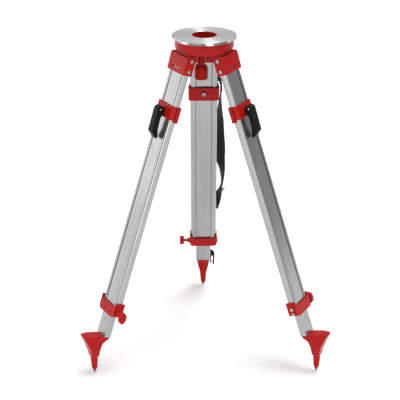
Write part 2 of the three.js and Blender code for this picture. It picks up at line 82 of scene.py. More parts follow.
# ---- Camera ----
# Millimetres behind the head's axis and above the floor, and degrees.
CAMERA = {"back": 3147.85, "height": 1761.03, "yaw": -0.22316, "pitch": 22.80255, "roll": -0.17}
OBJECT_TURN = 0.74  # how far the object is turned, as the camera sees it, in degrees
LENS = 112.5


def add_camera():
    yaw, pitch, roll = (math.radians(CAMERA[key]) for key in ("yaw", "pitch", "roll"))
    ahead = math.cos(pitch)
    forward = Vector((math.sin(yaw) * ahead, math.cos(yaw) * ahead, -math.sin(pitch)))
    level = Vector((math.cos(yaw), -math.sin(yaw), 0))
    upright = level.cross(forward)
    right = math.cos(roll) * level + math.sin(roll) * upright
    up = -math.sin(roll) * level + math.cos(roll) * upright
    place = Matrix.Identity(4)
    for column, vector in enumerate((right, up, -forward)):
        for row in range(3):
            place[row][column] = vector[row]
    place.translation = Vector((0, -CAMERA["back"] * MM, CAMERA["height"] * MM))
    data = bpy.data.cameras.new("camera")
    data.lens = LENS
    data.sensor_width = 36
    data.clip_end = 60
    camera = bpy.data.objects.new("camera", data)
    bpy.context.scene.collection.objects.link(camera)
    turned = Matrix.Rotation(-math.radians(OBJECT_TURN), 4, "Z")
    camera.matrix_world = Matrix.Translation((HEAD_AXIS.x, HEAD_AXIS.y, 0)) @ turned @ place
    bpy.context.scene.camera = camera


# ---- Node materials ----
PLACE = "place"  # each point's position in its leg's or the head's own frame, which textures follow


class Shader:
    """A small helper that adds nodes to a material and links them."""

    def __init__(self, name):
        self.material = bpy.data.materials.new(name)
        self.material.use_nodes = True
        self.tree = self.material.node_tree
        self.surface = self.tree.nodes["Principled BSDF"]
        self.place = self.node("ShaderNodeAttribute", attribute_name=PLACE).outputs["Vector"]

    def node(self, kind, inputs=None, **settings):
        made = self.tree.nodes.new(kind)
        for key, value in settings.items():
            setattr(made, key, value)
        for key, value in (inputs or {}).items():
            if isinstance(value, bpy.types.NodeSocket):
                self.tree.links.new(value, made.inputs[key])
            else:
                made.inputs[key].default_value = value
        return made

    def set(self, key, value):
        if isinstance(value, bpy.types.NodeSocket):
            self.tree.links.new(value, self.surface.inputs[key])
        else:
            self.surface.inputs[key].default_value = value

    def stretched(self, scale):
        return self.node("ShaderNodeMapping", {"Vector": self.place, "Scale": scale}).outputs[0]

    def noise(self, scale, detail=3, roughness=0.5, place=None):
        inputs = {"Vector": place or self.place, "Scale": scale, "Detail": detail}
        inputs["Roughness"] = roughness
        return self.node("ShaderNodeTexNoise", inputs).outputs["Fac"]

    def ramp(self, value, *stops):
        """Colours or greys at positions from 0 to 1: each stop is (position, grey or colour)."""
        made = self.node("ShaderNodeValToRGB", {"Fac": value})
        elements = made.color_ramp.elements
        while len(elements) < len(stops):
            elements.new(0.5)
        for element, (position, colour) in zip(elements, stops):
            element.position = position
            element.color = (*colour, 1) if isinstance(colour, tuple) else (colour, colour, colour, 1)
        return made.outputs["Color"]

    def mix(self, factor, a, b, blend_type="MIX"):
        made = self.tree.nodes.new("ShaderNodeMix")
        made.data_type = "RGBA"
        made.blend_type = blend_type
        for index, value in ((0, factor), (6, a), (7, b)):
            if isinstance(value, bpy.types.NodeSocket):
                self.tree.links.new(value, made.inputs[index])
            elif index and isinstance(value, tuple):
                made.inputs[index].default_value = (*value, 1)
            else:
                made.inputs[index].default_value = value
        return made.outputs[2]

    def math(self, operation, a, b=0.0):
        return self.node("ShaderNodeMath", {0: a, 1: b}, operation=operation).outputs[0]

    def bump(self, height, strength, distance):
        inputs = {"Height": height, "Strength": strength, "Distance": distance}
        return self.node("ShaderNodeBump", inputs).outputs[0]

    def edges(self, low, high):
        """White on convex edges, for paint or metal that has worn there."""
        point = self.node("ShaderNodeNewGeometry").outputs["Pointiness"]
        return self.ramp(point, (low, 0.0), (high, 1.0))


def red_finish(name, dark, bright, roughness, texture, tip=None):
    """Gloss red: powder coat on castings, or moulded plastic on knobs. At a tip it has worn off."""
    s = Shader(name)
    colour = s.ramp(s.noise(14, 4), (0.3, dark), (0.7, bright))
    worn = s.math("MULTIPLY", s.edges(0.55, 0.66), s.ramp(s.noise(160, 3), (0.5, 0.0), (0.7, 1.0)))
    colour = s.mix(s.math("MULTIPLY", worn, 0.25), colour, (0.62, 0.10, 0.08))
    low, high = roughness
    gloss = s.ramp(s.noise(55, 5, 0.6), (0.3, low), (0.75, high))
    if tip:
        bare = tip_wear(s, tip)
        colour = s.mix(bare, colour, (0.16, 0.15, 0.145))
        gloss = s.mix(bare, gloss, (0.42, 0.42, 0.42))
        s.set("Metallic", s.math("MULTIPLY", bare, 0.9))
    s.set("Base Color", colour)
    s.set("Roughness", gloss)
    s.set("Normal", s.bump(s.noise(texture, 2), 0.02, 0.0004))
    s.set("Specular IOR Level", 0.07)
    s.set("Coat Weight", 0.12)
    s.set("Coat Roughness", 0.06)
    return s.material


def foot_tip(name):
    """The point of a foot's spike, in its leg's frame: the same on every leg."""
    lowest = min((v.co for v in NODES[name + "_foot"].data.vertices), key=lambda point: point.z)
    return LEG_FRAMES[name].inverted() @ lowest / MM


def tip_wear(s, tip):
    """1 at a foot's point, where the ground has taken the paint off, and 0 further up."""
    reach = s.node("ShaderNodeVectorMath", {0: s.place, 1: [c * MM for c in tip]}, operation="DISTANCE")
    ragged = s.math("ADD", reach.outputs["Value"], s.math("MULTIPLY", s.noise(190, 4), 0.016))
    return s.ramp(s.math("MULTIPLY", ragged, 20), (0.40, 1.0), (0.52, 0.0))


SEAM = 22  # where the rails meet the panel and the inner leg, and where a dark line of painted shade stands for the shadow in the gaps


def anodised_finish(name, shaded_seams=True):
    """Satin anodised extrusion: drawn lines along the leg, cloudy stains, and painted shade: a dark line
    along each seam between the parts.
    """
    s = Shader(name)
    lines = s.noise(1500, 2, 0.6, s.stretched((1, 1, 0.006)))
    broad = s.noise(260, 3, 0.5, s.stretched((1, 1, 0.02)))
    base = s.ramp(broad, (0.3, (0.365, 0.37, 0.362)), (0.7, (0.425, 0.43, 0.422)))
    stains = s.ramp(s.noise(9, 5, 0.6), (0.35, (0.92, 0.93, 0.93)), (0.7, (1.0, 1.0, 1.0)))
    colour = s.mix(1.0, base, stains, "MULTIPLY")
    if shaded_seams:
        # Painted shade: darkens a narrow band either side of SEAM, standing for the shadow in the gaps
        # between rails, panel and inner leg.
        aside = s.math("ABSOLUTE", s.node("ShaderNodeSeparateXYZ", {0: s.place}).outputs[0])
        off_seam = s.math("ABSOLUTE", s.math("SUBTRACT", aside, SEAM * MM))
        near = s.math("MULTIPLY", off_seam, 250)
        seam_shade = s.ramp(near, (0.20, (0.30, 0.30, 0.295)), (0.34, (1.0, 1.0, 1.0)))
        colour = s.mix(1.0, colour, seam_shade, "MULTIPLY")
    s.set("Base Color", colour)
    s.set("Metallic", 0.88)
    s.set("Roughness", s.ramp(lines, (0.25, 0.17), (0.8, 0.26)))
    s.set("Normal", s.bump(lines, 0.06, 0.0002))
    return s.material


TOOL_FEED = 0.9  # millimetres between the rings that the lathe tool left


def turned_finish():
    """Faced aluminium plate: fine rings from the lathe tool, which fan the light out in wedges, and
    painted reflections in dark and light patches on its rim and the faces below its top.
    """
    s = Shader("polished_aluminium")
    parts = s.node("ShaderNodeSeparateXYZ", {0: s.place})
    flat = s.node("ShaderNodeCombineXYZ", {"X": parts.outputs[0], "Y": parts.outputs[1]}).outputs[0]
    radius = s.node("ShaderNodeVectorMath", {0: flat}, operation="LENGTH").outputs["Value"]
    rings = s.math("SINE", s.math("MULTIPLY", radius, 2 * math.pi / (TOOL_FEED * MM)))
    along = s.node("ShaderNodeCombineXYZ", {"X": s.math("MULTIPLY", radius, 900)}).outputs[0]
    shade = s.noise(1, 4, 0.6, along)
    base = s.ramp(shade, (0.3, (0.85, 0.855, 0.85)), (0.7, (0.91, 0.915, 0.91)))
    # Painted reflection: dark and light patches, only below the top face, standing for what the rim
    # would mirror.
    painted_rim_reflections = s.ramp(s.noise(24, 2), (0.46, (0.20, 0.20, 0.20)), (0.56, (0.95, 0.95, 0.95)))
    below = s.ramp(s.math("MULTIPLY", parts.outputs[2], -200), (0.10, 0.0), (0.20, 1.0))
    s.set("Base Color", s.mix(1.0, base, s.mix(below, (1.0, 1.0, 1.0), painted_rim_reflections), "MULTIPLY"))
    s.set("Metallic", 1.0)
    s.set("Roughness", s.ramp(s.noise(30, 5, 0.6), (0.3, 0.27), (0.7, 0.30)))
    s.set("Anisotropic", 0.93)
    s.set("Anisotropic Rotation", 0.25)
    s.set("Tangent", s.node("ShaderNodeTangent", direction_type="RADIAL", axis="Z").outputs[0])
    s.set("Normal", s.bump(s.math("MULTIPLY", s.math("ADD", rings, shade), 0.5), 0.006, 0.0002))
    return s.material


def zinc_finish():
    """Bright zinc plate: cloudy, lightly scratched."""
    s = Shader("zinc_steel")
    clouds = s.noise(90, 5, 0.6)
    s.set("Base Color", s.ramp(clouds, (0.3, (0.27, 0.265, 0.245)), (0.7, (0.44, 0.435, 0.40))))
    s.set("Metallic", 1.0)
    s.set("Roughness", s.ramp(s.noise(420, 4, 0.6), (0.3, 0.24), (0.75, 0.44)))
    s.set("Normal", s.bump(s.noise(1400, 2), 0.10, 0.0002))
    return s.material


def black_finish():
    """Moulded black plastic with a fine grain, greyer where hands rub its edges."""
    s = Shader("black_plastic")
    base = s.ramp(s.noise(40, 4), (0.3, (0.005, 0.005, 0.0053)), (0.7, (0.009, 0.009, 0.0096)))
    s.set("Base Color", s.mix(s.math("MULTIPLY", s.edges(0.54, 0.66), 0.3), base, (0.03, 0.03, 0.031)))
    s.set("Roughness", s.ramp(s.noise(300, 3), (0.3, 0.36), (0.75, 0.54)))
    s.set("Specular IOR Level", 0.09)
    s.set("Normal", s.bump(s.noise(1900, 3, 0.6), 0.22, 0.0003))
    return s.material


WEAVE = {"rib": 2.4, "row": 1.9}  # millimetres from one rib or row to the next


def webbing_finish():
    """Woven polyester: rows across and ribs along, from the ribbon's own width and length."""
    s = Shader("webbing")
    uv = s.node("ShaderNodeUVMap", uv_map="weave").outputs[0]
    parts = s.node("ShaderNodeSeparateXYZ", {0: uv})
    across, along = parts.outputs[0], parts.outputs[1]
    ribs = s.math("SINE", s.math("MULTIPLY", across, 2 * math.pi / WEAVE["rib"]))
    shifted = s.math("ADD", along, s.math("MULTIPLY", s.math("SIGN", ribs), 0.6))
    rows = s.math("SINE", s.math("MULTIPLY", shifted, 2 * math.pi / WEAVE["row"]))
    raised = s.math("ADD", s.math("MULTIPLY", rows, 0.5), 0.5)
    weave = s.math("MULTIPLY", s.math("ABSOLUTE", ribs), raised)
    base = s.ramp(weave, (0.1, (0.003, 0.003, 0.0035)), (0.8, (0.013, 0.013, 0.014)))
    s.set("Base Color", s.mix(s.math("MULTIPLY", s.noise(1800, 2), 0.2), base, (0.03, 0.03, 0.031)))
    s.set("Roughness", s.ramp(s.noise(700, 2), (0.3, 0.70), (0.7, 0.86)))
    s.set("Specular IOR Level", 0.25)
    s.set("Sheen Weight", 0.12)
    s.set("Sheen Roughness", 0.4)
    s.set("Normal", s.bump(weave, 0.55, 0.0006))
    return s.material


# Dark and bright ends of the red's slight mottle.
RED = ((0.355, 0.0050, 0.0053), (0.405, 0.0068, 0.0071))
MATERIALS = {
    "red_paint": red_finish("red_paint", *RED, (0.22, 0.34), 420),
    "red_plastic": red_finish("red_plastic", *RED, (0.28, 0.40), 300),
    "anodised_aluminium": anodised_finish("anodised_aluminium"),
    "polished_aluminium": turned_finish(),
    "zinc_steel": zinc_finish(),
    "black_plastic": black_finish(),
    "webbing": webbing_finish(),
}
FOOT_TIP = foot_tip("front_left")
INNER_LEG = anodised_finish("inner_leg_aluminium", False)
FOOT_PAINT = red_finish("foot_paint", *RED, (0.24, 0.38), 420, FOOT_TIP)
SLOTS = {part["node"]: part["material_slot"] for part in frame["record"]["subparts"]}
BODIES = {node: body for body, nodes in frame["record"]["behaviour"]["bodies"].items() for node in nodes}


# ---- Mesh helpers ----
def keep_place(mesh):
    """Writes each point's own position into the mesh, for the materials."""
    positions = [c for v in mesh.vertices for c in v.co]
    mesh.attributes.new(PLACE, "FLOAT_VECTOR", "POINT").data.foreach_set("vector", positions)


def finish_piece(name, mesh, place, body, slot, nodes=(), keep_flat=True, material=None):
    """Puts a mesh in the scene as a named piece of a body, with its slot's material or a variant."""
    keep_place(mesh)
    mesh.transform(place)
    piece = bpy.data.objects.new(name, mesh)
    bpy.context.scene.collection.objects.link(piece)
    mesh.materials.clear()
    mesh.materials.append(material or MATERIALS[slot])
    if keep_flat:
        weighted = piece.modifiers.new("flat_faces", "WEIGHTED_NORMAL")
        weighted.keep_sharp = True
    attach(piece, body)
    if nodes:
        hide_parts(*nodes)


def smooth(mesh, angle=35):
    for polygon in mesh.polygons:
        polygon.use_smooth = True
    mesh.set_sharp_from_angle(angle=math.radians(angle))


def cleaned(node, place):
    """The CAD node's shape in a frame of its own, with its flat faces whole again."""
    shape = bmesh.new()
    shape.from_mesh(NODES[node].data)
    bmesh.ops.transform(shape, matrix=place.inverted(), verts=shape.verts)
    bmesh.ops.remove_doubles(shape, verts=shape.verts, dist=2e-6)
    flat = math.radians(0.8)
    bmesh.ops.dissolve_limit(shape, angle_limit=flat, verts=shape.verts, edges=shape.edges)
    return shape


SHARP = math.radians(28)


def round_edges(shape, width, segments):
    sharp = [e for e in shape.edges if len(e.link_faces) == 2 and e.calc_face_angle() > SHARP]
    bmesh.ops.bevel(shape, geom=sharp, offset=width * MM, segments=segments, profile=0.5,
                    affect="EDGES", clamp_overlap=True)


def carved(mesh, cutters):
    """A mesh with the cutters' shapes taken out of it."""
    link = bpy.context.scene.collection.objects.link
    carving = bpy.data.objects.new("carving", mesh)
    link(carving)
    spares = [carving]
    for cutter in cutters:
        tool = bpy.data.objects.new("cutter", cutter)
        link(tool)
        spares.append(tool)
        step = carving.modifiers.new("cut", "BOOLEAN")
        step.object = tool
        step.solver = "EXACT"
    depsgraph = bpy.context.evaluated_depsgraph_get()
    result = bpy.data.meshes.new_from_object(carving.evaluated_get(depsgraph))
    for spare in spares:
        bpy.data.objects.remove(spare)
    return result


def refined(node, place, width, segments=2, change=None, cuts=(), material=None):
    """A CAD node made finer: rounded edges and smooth curved faces, on the same body."""
    shape = cleaned(node, place)
    if change:
        change(shape)
    round_edges(shape, width, segments)
    mesh = bpy.data.meshes.new(node)
    shape.to_mesh(mesh)
    shape.free()
    if cuts:
        mesh = carved(mesh, [make() for make in cuts])
    smooth(mesh)
    finish_piece(node + "_look", mesh, place, BODIES[node], SLOTS[node], [node], material=material)


def mesh_from(name, points, faces):
    """A mesh from points in millimetres."""
    mesh = bpy.data.meshes.new(name)
    mesh.from_pydata([tuple(c * MM for c in p) for p in points], [], faces)
    mesh.validate()
    return mesh


def lathe(name, profile, sides=96, radius_at=None):
    """A piece turned about z from a closed [radius, height] profile, which radius_at may vary."""
    points, faces = [], []
    count = len(profile)
    for i in range(sides):
        angle = 2 * math.pi * i / sides
        for r, z in profile:
            r = radius_at(r, z, angle) if radius_at else r
            points.append((r * math.cos(angle), r * math.sin(angle), z))
    for i in range(sides):
        j = (i + 1) % sides
        for k in range(count):
            m = (k + 1) % count
            faces.append((i * count + k, j * count + k, j * count + m, i * count + m))
    return mesh_from(name, points, faces)


def block(low, high):
    """A plain box, as a cutter."""
    shape = bmesh.new()
    size = [(h - l) * MM for l, h in zip(low, high)]
    middle = [(h + l) / 2 * MM for l, h in zip(low, high)]
    place = Matrix.Translation(middle) @ Matrix.Diagonal((*size, 1))
    bmesh.ops.create_cube(shape, size=1, matrix=place)
    mesh = bpy.data.meshes.new("block")
    shape.to_mesh(mesh)
    shape.free()
    return mesh


def plug(at, axis, radius, depth):
    """A round cutter: at is the middle of the surface that it sinks into, and axis points out of it."""
    mesh = lathe("plug", [(0, -depth), (radius, -depth), (radius + 0.5, 3), (0, 3)], 40)
    weld(mesh)
    turned_along(mesh, axis)
    mesh.transform(Matrix.Translation([c * MM for c in at]))
    return mesh


def turned_along(mesh, axis):
    """Turns a lathe's z axis to point along x, y or their opposites."""
    quat = Vector((0, 0, 1)).rotation_difference(Vector(axis))
    mesh.transform(quat.to_matrix().to_4x4())


def quarter(radius, middle, corner, start, steps):
    """Points of a rounded corner of a profile: a quarter turn from start degrees, out to radius."""
    points = []
    for step in range(steps + 1):
        turn = math.radians(start + 90 * step / steps)
        points.append((radius - corner + corner * math.cos(turn), middle + corner * math.sin(turn)))
    return points


def rounded_profile(radius, top, bottom, corner):
    """Profile of a disc with rounded corners."""
    lower = quarter(radius, bottom + corner, corner, -90, 4)
    upper = quarter(radius, top - corner, corner, 0, 4)
    return [(0, bottom), *lower, *upper, (0, top)]


def disc_piece(name, place, body, slot, at, axis, radius, height, corner):
    """A domed disc on a surface: at is the middle of its seat and axis points outward."""
    mesh = lathe(name, rounded_profile(radius, height, 0, corner), 32)
    weld(mesh)
    turned_along(mesh, axis)
    mesh.transform(Matrix.Translation([c * MM for c in at]))
    smooth(mesh)
    finish_piece(name, mesh, place, body, slot)


def weld(mesh):
    """Joins the points of a lathe that meet on its axis."""
    shape = bmesh.new()
    shape.from_mesh(mesh)
    bmesh.ops.remove_doubles(shape, verts=shape.verts, dist=1e-6)
    bmesh.ops.recalc_face_normals(shape, faces=shape.faces)
    shape.to_mesh(mesh)
    shape.free()


# ---- Head ----
def build_head():
    for node, width in (("head_casting", 0.9), ("swing_arm", 0.5), ("arm_pivot_screw", 0.6),
                        ("screw_sleeve", 0.5), ("thrust_washer", 0.3)):
        refined(node, HEAD_FRAME, width)
    plate()
    fixing_screw()


PLATE = {"radius": 84, "hole": 33, "thickness": 8, "chamfer": 1.0, "bore_edge": 0.3}


def plate():
    """Thick turned plate, with small chamfers on its rims."""
    r, hole, t, c, edge = PLATE.values()
    profile = [(hole + edge, -t), (r - c, -t), (r, -t + c), (r, -c), (r - 0.35, -0.35), (r - c - 0.3, 0),
               (hole + edge, 0), (hole, -edge), (hole, -t + edge)]
    mesh = lathe("head_plate", profile, 180)
    weld(mesh)
    smooth(mesh, 20)
    finish_piece("head_plate_look", mesh, HEAD_FRAME, "head", "polished_aluminium", ["head_plate"],
                 keep_flat=False)


SCREW = {"x": -8, "radius": 7.9, "top": -17, "end": -109.7, "pitch": 2.31, "depth": 1.1, "lead": 1.6}
STUD_COLLAR = {"radius": 11.5, "top": -29, "bottom": -33, "corner": 0.8}
KNOB = {"radius": 18, "top": -82, "end": -119, "bore": 10.6, "bore_end": -110, "corner": 3,
        "flutes": 20, "flute_depth": 0.7, "shoulder": -90}


def fixing_screw():
    place = HEAD_FRAME @ Matrix.Translation((SCREW["x"] * MM, 0, 0))
    threaded_stud(place)
    collar = lathe("stud_collar", rounded_profile(**STUD_COLLAR), 48)
    weld(collar)
    smooth(collar)
    finish_piece("stud_collar", collar, place, "screw", "zinc_steel")
    fluted_knob(place)


def threaded_stud(place):
    pitch, depth, radius = SCREW["pitch"], SCREW["depth"], SCREW["radius"]
    heights = [SCREW["top"]]
    step = pitch / 6
    while heights[-1] - step > SCREW["end"]:
        heights.append(heights[-1] - step)

    def thread(r, z, angle):
        if r < 1:
            return r
        turn = ((z / pitch) + angle / (2 * math.pi)) % 1
        groove = depth * max(0.0, 1 - abs(turn - 0.5) * 2.6)
        taper = max(0.0, SCREW["lead"] + z - SCREW["top"]) * 0.8
        return r - groove - taper

    profile = [(0, SCREW["end"])] + [(radius, z) for z in reversed(heights)] + [(0, SCREW["top"])]
    mesh = lathe("fixing_stud", profile, 40, thread)
    weld(mesh)
    smooth(mesh, 50)
    finish_piece("fixing_stud_look", mesh, place, "screw", "zinc_steel", ["fixing_stud"],
                 keep_flat=False)


def fluted_knob(place):
    """The grip, with flutes round its side and a sloping shoulder above them."""
    r, top, end, bore, corner = (KNOB[key] for key in ("radius", "top", "end", "bore", "corner"))
    flute_low, flute_high = end + 5, KNOB["shoulder"] - 1
    grip = [(0, end), *quarter(r, end + corner, corner, -90, 5)]
    grip += [(r, flute_low), (r, flute_low + 1.5), (r, flute_high - 1.5), (r, flute_high)]
    grip += [(r - 0.5, KNOB["shoulder"] + 1.5), (r - 2.6, top - 1.5), (r - 3.6, top), (bore, top),
             (bore, KNOB["bore_end"]),
             (0, KNOB["bore_end"])]

    def flute(radius, z, angle):
        if radius < r - 0.01 or not flute_low < z < flute_high:
            return radius
        return radius - KNOB["flute_depth"] * max(0.0, math.cos(KNOB["flutes"] * angle)) ** 2

    mesh = lathe("fixing_knob", grip, 160, flute)
    weld(mesh)
    smooth(mesh, 45)
    finish_piece("fixing_knob_look", mesh, place, "screw", "red_plastic", ["fixing_knob"],
                 keep_flat=False)


# ---- Legs ----
THUMB_FACE = -71  # outer face of the thumb screw's wing, along x
LEVER_HALF = 10  # half the lever's width
CLAMP_Z = -142
CLAMP_RECESS = {"at": (0, -14.3, CLAMP_Z), "axis": (0, -1, 0), "radius": 9.5, "depth": 1.7}
BRACKET_SLIT = ((-17, 9.5, -29.2), (25, 20, -25.8))


def faces_toward(shape, axis, side, reach):
    """The faces that look along an axis, 0 to 2, to one side, and lie further out than reach."""
    return [f for f in shape.faces
            if f.normal[axis] * side > 0.99 and f.calc_center_median()[axis] * side > reach * MM]


def socketed(axis, reach, radius, socket, depth):
    """Makes a change that sinks a socket in each head's end face, which lies further out than reach."""
    def change(shape):
        for side in (1, -1):
            faces = faces_toward(shape, axis, side, reach)
            for inset, sink in ((radius - socket, 0), (0.15, -depth)):
                bmesh.ops.inset_region(shape, faces=faces, thickness=inset * MM, depth=sink * MM)
    return change


def hollow_wing(shape):
    """Sinks the outer face of a thumb screw's wing, so that a rim stands round it."""
    faces = faces_toward(shape, 0, -1, -THUMB_FACE - 1)
    for depth, inset in ((0, 2.2), (-1.8, 0.5)):
        bmesh.ops.inset_region(shape, faces=faces, thickness=inset * MM, depth=depth * MM)


def sunk_sides(shape):
    """Sinks both sides of a lever, as a moulding has them."""
    for side in (1, -1):
        faces = faces_toward(shape, 0, side, LEVER_HALF - 0.1)
        for depth, inset in ((0, 1.7), (-0.9, 0.4)):
            bmesh.ops.inset_region(shape, faces=faces, thickness=inset * MM, depth=depth * MM)


CAST = {"voxel": 1.1, "soften": 4, "keep": 0.25}


def cast_foot(node, place):
    """The foot as a casting: its facets melted into each other, keeping its size."""
    shape = cleaned(node, place)
    mesh = bpy.data.meshes.new(node)
    shape.to_mesh(mesh)
    shape.free()
    draft = bpy.data.objects.new(node + "_draft", mesh)
    bpy.context.scene.collection.objects.link(draft)
    remesh = draft.modifiers.new("remesh", "REMESH")
    remesh.mode = "VOXEL"
    remesh.voxel_size = CAST["voxel"] * MM
    soften = draft.modifiers.new("soften", "SMOOTH")
    soften.factor = 0.5
    soften.iterations = CAST["soften"]
    fewer = draft.modifiers.new("fewer", "DECIMATE")
    fewer.ratio = CAST["keep"]
    depsgraph = bpy.context.evaluated_depsgraph_get()
    cast = bpy.data.meshes.new_from_object(draft.evaluated_get(depsgraph))
    bpy.data.objects.remove(draft)
    cast.name = node
    smooth(cast, 60)
    finish_piece(node + "_look", cast, place, BODIES[node], SLOTS[node], [node], keep_flat=False,
                 material=FOOT_PAINT)


BOLT_SOCKET = {"axis": 0, "reach": 44, "radius": 4.8, "socket": 2.4, "depth": 1.6}
CLAMP_SOCKET = {"axis": 1, "reach": 18, "radius": 5.6, "socket": 2.9, "depth": 2.2}
LEG_PIECES = {
    "bracket": {"width": 1.3, "segments": 3, "cuts": [lambda: block(*BRACKET_SLIT)]},
    "hinge_bolt": {"width": 0.7, "segments": 3, "change": socketed(**BOLT_SOCKET)},
    "bracket_bolt": {"width": 0.7, "segments": 3, "change": socketed(**BOLT_SOCKET)},
    "rail_near": {"width": 0.35},
    "rail_far": {"width": 0.35},
    "panel": {"width": 0.3},
    "collar": {"width": 1.0, "segments": 3},
    "collar_screw": {"width": 0.8, "segments": 3},
    "thumb_screw": {"width": 0.9, "segments": 3, "change": hollow_wing},
    "clamp_outer": {"width": 0.8, "segments": 3},
    "clamp_inner": {"width": 0.8, "segments": 3, "cuts": [lambda: plug(**CLAMP_RECESS)]},
    "clamp_bolt": {"width": 0.6, "change": socketed(**CLAMP_SOCKET)},
    "lever": {"width": 1.3, "segments": 3, "change": sunk_sides},
    "lever_pin": {"width": 0.6},
    "inner_leg": {"width": 0.4, "material": INNER_LEG},
}
RIVETS = {"heights": (-735, -775), "seat": 9.2, "size": (2.6, 1.1, 0.8)}
LOW_SCREW = {"at": (40.6, 0, -709), "size": (5, 2.7, 1.6)}


def build_leg(name):
    place = LEG_FRAMES[name]
    for part, options in LEG_PIECES.items():
        refined(name + "_" + part, place, **options)
    cast_foot(name + "_foot", place)
    disc_piece(name + "_collar_screw_low", place, BODIES[name + "_collar"], "zinc_steel",
               LOW_SCREW["at"], (1, 0, 0), *LOW_SCREW["size"])
    for number, z in enumerate(RIVETS["heights"]):
        for side, axis in (("outer", 1), ("inner", -1)):
            disc_piece(f"{name}_rivet_{side}_{number}", place, BODIES[name + "_inner_leg"], "zinc_steel",
                       (0, axis * RIVETS["seat"], z), (0, axis, 0), *RIVETS["size"])


# ---- Carrying strap, in the rear leg's frame ----
# Middle of the webbing, from the keeper down to its patch, with the turn of its flat side in degrees.
STRAP_ROUTE = [
    [(42.2, 5, -108.7), 0],
    [(45.8, 8, -122), 0],
    [(46.6, 10, -168), 4],
    [(45.6, 16, -215), 24],
    [(46.2, 22, -255), 45],
    [(46, 24, -303), 68],
    [(49, 25, -367), 80],
    [(49, 24, -405), 74],
    [(53.8, 20, -450), 30],
    [(53.2, 16, -497), 4],
    [(50, 15, -516), 12],
    [(42, 18.6, -545), 48],
    [(34, 16.4, -574), 82],
    [(30, 14.6, -590), 90],
]
TAIL_ROUTE = [  # its free end, past the stitches
    [(48.5, 17.0, -529), 20],
    [(52.5, 15.6, -520.5), 10],
    [(56.5, 14.0, -513.5), 4],
    [(61.5, 12.4, -508), 0],
]
TAIL_TAPER = 0.42, 0.12  # its width as a share of the webbing's, at the stitches and at its tip
FOLD_END = 40  # below its keeper the strap is doubled over this far
WEBBING = {"half": 13.5, "thick": 2.2, "across": 10, "selvedge": 0.7}
STITCH = {"length": 2.5, "thick": 0.76, "pitch": 3.4, "half_width": 9.5}
STITCHED = {"strap_stitches_top": (16, 34), "strap_stitches_low": (458, 474)}  # along the webbing


def smooth_route(points, per_span):
    """A centripetal Catmull-Rom curve through points, with per_span steps from each to the next."""
    ends = [2 * points[0] - points[1], *points, 2 * points[-1] - points[-2]]
    route = []
    for p0, p1, p2, p3 in zip(ends, ends[1:], ends[2:], ends[3:]):
        d0, d1, d2 = ((b - a).length ** 0.5 for a, b in ((p0, p1), (p1, p2), (p2, p3)))
        d1 = d1 if d1 > 1e-4 else 1.0
        d0 = d0 if d0 > 1e-4 else d1
        d2 = d2 if d2 > 1e-4 else d1
        t1 = ((p1 - p0) / d0 - (p2 - p0) / (d0 + d1) + (p2 - p1) / d1) * d1
        t2 = ((p2 - p1) / d1 - (p3 - p1) / (d1 + d2) + (p3 - p2) / d2) * d1
        for step in range(per_span):
            t = step / per_span
            cubic = 2 * (p1 - p2) + t1 + t2
            square = 3 * (p2 - p1) - 2 * t1 - t2
            route.append(p1 + t1 * t + square * t * t + cubic * t ** 3)
    return route + [points[-1]]


def ribbon_frames(route, per_span):
    """At each step of a route: the middle, the width's direction, the facing and the length so far."""
    middles = smooth_route([Vector(p) for p, _ in route], per_span)
    turns = smooth_route([Vector((turn, 0, 0)) for _, turn in route], per_span)
    frames, length = [], 0
    for i, (middle, turn) in enumerate(zip(middles, turns)):
        length += (middle - middles[i - 1]).length if i else 0
        angle = math.radians(turn.x)
        across = Vector((math.sin(angle), -math.cos(angle), 0))
        facing = Vector((math.cos(angle), math.sin(angle), 0))
        frames.append((middle, across, facing, length))
    return frames


def ribbon(name, frames, taper=(1, 1)):
    """Webbing with rounded selvedges. Its UVs are its own width and length in millimetres."""
    narrow = [taper[0] + (taper[1] - taper[0]) * i / (len(frames) - 1) for i in range(len(frames))]
    half, thick, count, selvedge = WEBBING.values()
    across = [(half - selvedge) * (2 * i / count - 1) for i in range(count + 1)]
    ring = [(u, thick / 2) for u in across] + [(half, 0)]
    ring += [(u, -thick / 2) for u in reversed(across)] + [(-half, 0)]
    size = len(ring)
    points = [middle + u * share * width + t * facing
              for (middle, width, facing, _), share in zip(frames, narrow) for u, t in ring]
    faces = [tuple(range(size)), tuple(range(len(points) - 1, len(points) - size - 1, -1))]
    for i in range(len(frames) - 1):
        for k in range(size):
            a, b = i * size + k, i * size + (k + 1) % size
            faces.append((b, a, a + size, b + size))
    mesh = mesh_from(name, points, faces)
    weave = mesh.uv_layers.new(name="weave")
    for loop in mesh.loops:
        i, k = divmod(loop.vertex_index, size)
        weave.data[loop.index].uv = (ring[k][0], frames[i][3])
    face_out(mesh)
    smooth(mesh, 50)
    return mesh


def face_out(mesh):
    shape = bmesh.new()
    shape.from_mesh(mesh)
    bmesh.ops.recalc_face_normals(shape, faces=shape.faces)
    shape.to_mesh(mesh)
    shape.free()


